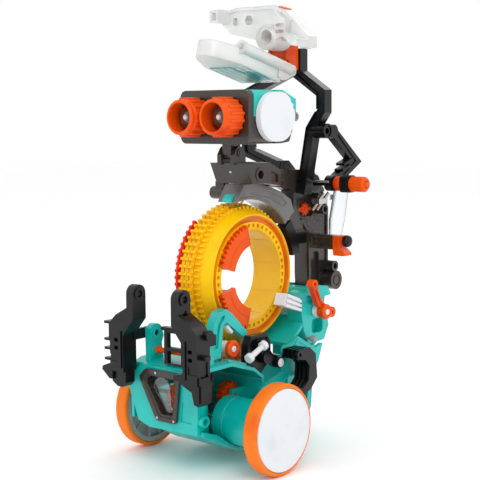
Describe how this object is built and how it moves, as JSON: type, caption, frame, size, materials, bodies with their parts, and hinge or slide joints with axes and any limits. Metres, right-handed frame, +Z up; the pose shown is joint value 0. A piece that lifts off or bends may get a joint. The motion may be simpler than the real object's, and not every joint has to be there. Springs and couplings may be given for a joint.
{
  "type": "two-wheeled coding robot kit model",
  "caption": "Two-wheeled construction-kit robot with a toothed coding ring in its body, a nodding head, an overhead arm with a clear claw and hanging front arms.",
  "frame": {"origin": "centre of the footprint, on the ground under the wheels", "axes": "+Z up, +X towards the robot's left along the wheel axle, the robot faces -Y"},
  "size_m": [0.1348, 0.2078, 0.328],
  "materials": {
    "teal": "satin teal",
    "orange": "satin orange",
    "tyre_orange": "matt orange rubber",
    "red_orange": "satin red-orange",
    "red": "satin red",
    "yellow": "satin yellow",
    "charcoal": "satin dark brown-grey",
    "black": "satin black",
    "white": "satin white",
    "clear": "translucent white",
    "steel": "polished steel"
  },
  "bodies": {
    "chassis": {"floor_pan": "teal", "front_housing": "teal", "window_bezel": "charcoal", "motor_pod_left": "teal", "motor_pod_right": "teal", "side_frame_left": "teal", "side_frame_right": "teal", "rear_tower": "teal", "rear_skid": "teal", "axle_rod": "steel", "roller_bracket_front": "teal", "roller_bracket_rear": "teal", "chest_block": "charcoal", "hood": "charcoal", "spine": "charcoal", "guide_strip": "black", "bracket_bar": "charcoal", "bracket_clip": "red_orange", "clear_plate": "clear", "steel_rods_left": "steel", "steel_rods_right": "steel", "arm_rod": "red_orange", "latch_frame": "black", "follower_block": "black"},
    "wheel_left": {"tyre_left": "tyre_orange", "hub_left": "clear", "wheel_cap_left": "white"},
    "wheel_right": {"tyre_right": "tyre_orange", "hub_right": "clear", "wheel_cap_right": "white"},
    "caster": {"caster_wheel": "orange"},
    "coding_ring": {"ring_drum": "yellow", "ring_sector": "red", "ring_segment_upper": "red_orange", "ring_segment_lower": "red_orange"},
    "pinion": {"ring_pinion": "orange"},
    "window_gear": {"drive_gear": "red_orange"},
    "idler": {"idler_gear": "red_orange"},
    "front_roller": {"roller_front": "white"},
    "rear_roller": {"roller_rear": "white"},
    "head": {"head_front": "charcoal", "head_rear": "teal", "ear_left": "white", "ear_right": "white", "eye_ring_left": "red_orange", "eye_ring_right": "red_orange"},
    "overhead_arm": {"boom_left": "black", "boom_right": "black", "shoulder_shaft": "black", "shoulder_knob": "red_orange", "bell_crank": "black", "claw_mount": "red_orange"},
    "upper_jaw": {"jaw_upper": "clear"},
    "lower_jaw": {"jaw_lower": "clear"},
    "grabber_left": {"front_arm_left": "black"},
    "grabber_right": {"front_arm_right": "black"},
    "follower": {"follower_lever": "black", "follower_pin": "white"},
    "shift_lever": {"comb_lever": "black"},
    "link": {"rear_link": "red_orange"}
  },
  "joints": [
    {"name": "wheel_left_spin", "type": "hinge", "parent": "chassis", "child": "wheel_left", "pos_m": [0, -0.04386, 0.032], "axis": [1, 0, 0], "continuous": true},
    {"name": "wheel_right_spin", "type": "hinge", "parent": "chassis", "child": "wheel_right", "pos_m": [0, -0.04386, 0.032], "axis": [1, 0, 0], "continuous": true},
    {"name": "caster_spin", "type": "hinge", "parent": "chassis", "child": "caster", "pos_m": [0, 0.03964, 0.0095], "axis": [1, 0, 0], "continuous": true},
    {"name": "coding_ring_spin", "type": "hinge", "parent": "chassis", "child": "coding_ring", "pos_m": [0, -0.01086, 0.1308], "axis": [1, 0, 0], "continuous": true},
    {"name": "pinion_spin", "type": "hinge", "parent": "chassis", "child": "pinion", "pos_m": [0, -0.01086, 0.0704], "axis": [1, 0, 0], "continuous": true},
    {"name": "window_gear_spin", "type": "hinge", "parent": "chassis", "child": "window_gear", "pos_m": [0, -0.06586, 0.05], "axis": [1, 0, 0], "continuous": true},
    {"name": "idler_spin", "type": "hinge", "parent": "chassis", "child": "idler", "pos_m": [0, -0.03236, 0.046], "axis": [1, 0, 0], "continuous": true},
    {"name": "front_roller_spin", "type": "hinge", "parent": "chassis", "child": "front_roller", "pos_m": [0, -0.04686, 0.084], "axis": [1, 0, 0], "continuous": true},
    {"name": "rear_roller_spin", "type": "hinge", "parent": "chassis", "child": "rear_roller", "pos_m": [0, 0.03864, 0.0998], "axis": [1, 0, 0], "continuous": true},
    {"name": "head_nod", "type": "hinge", "parent": "chassis", "child": "head", "pos_m": [0, -0.01886, 0.2205], "axis": [1, 0, 0], "range_deg": [-10, 10]},
    {"name": "arm_swing", "type": "hinge", "parent": "chassis", "child": "overhead_arm", "pos_m": [0, 0.06614, 0.195], "axis": [1, 0, 0], "range_deg": [-35, 2]},
    {"name": "upper_jaw_open", "type": "hinge", "parent": "overhead_arm", "child": "upper_jaw", "pos_m": [0, 0.04064, 0.309], "axis": [1, 0, 0], "range_deg": [-20, 0]},
    {"name": "lower_jaw_open", "type": "hinge", "parent": "overhead_arm", "child": "lower_jaw", "pos_m": [0, 0.03644, 0.28], "axis": [1, 0, 0], "range_deg": [0, 8]},
    {"name": "grabber_left_swing", "type": "hinge", "parent": "chassis", "child": "grabber_left", "pos_m": [0, -0.07686, 0.095], "axis": [1, 0, 0], "range_deg": [-25, 0]},
    {"name": "grabber_right_swing", "type": "hinge", "parent": "chassis", "child": "grabber_right", "pos_m": [0, -0.07686, 0.095], "axis": [1, 0, 0], "range_deg": [-25, 0]},
    {"name": "follower_rock", "type": "hinge", "parent": "chassis", "child": "follower", "pos_m": [0, -0.01986, 0.075], "axis": [1, 0, 0], "range_deg": [-8, 8]},
    {"name": "shift_lever_rock", "type": "hinge", "parent": "chassis", "child": "shift_lever", "pos_m": [0, 0.00614, 0.074], "axis": [1, 0, 0], "range_deg": [-10, 10]},
    {"name": "link_rock", "type": "hinge", "parent": "chassis", "child": "link", "pos_m": [0, 0.04414, 0.0995], "axis": [1, 0, 0], "range_deg": [-15, 15]}
  ],
  "couplings": [
    {"joint": "pinion_spin", "follows": "coding_ring_spin", "ratio": -6},
    {"joint": "window_gear_spin", "follows": "coding_ring_spin", "ratio": -3},
    {"joint": "idler_spin", "follows": "coding_ring_spin", "ratio": 4.2857},
    {"joint": "lower_jaw_open", "follows": "upper_jaw_open", "ratio": -0.4},
    {"joint": "grabber_right_swing", "follows": "grabber_left_swing", "ratio": 1}
  ]
}
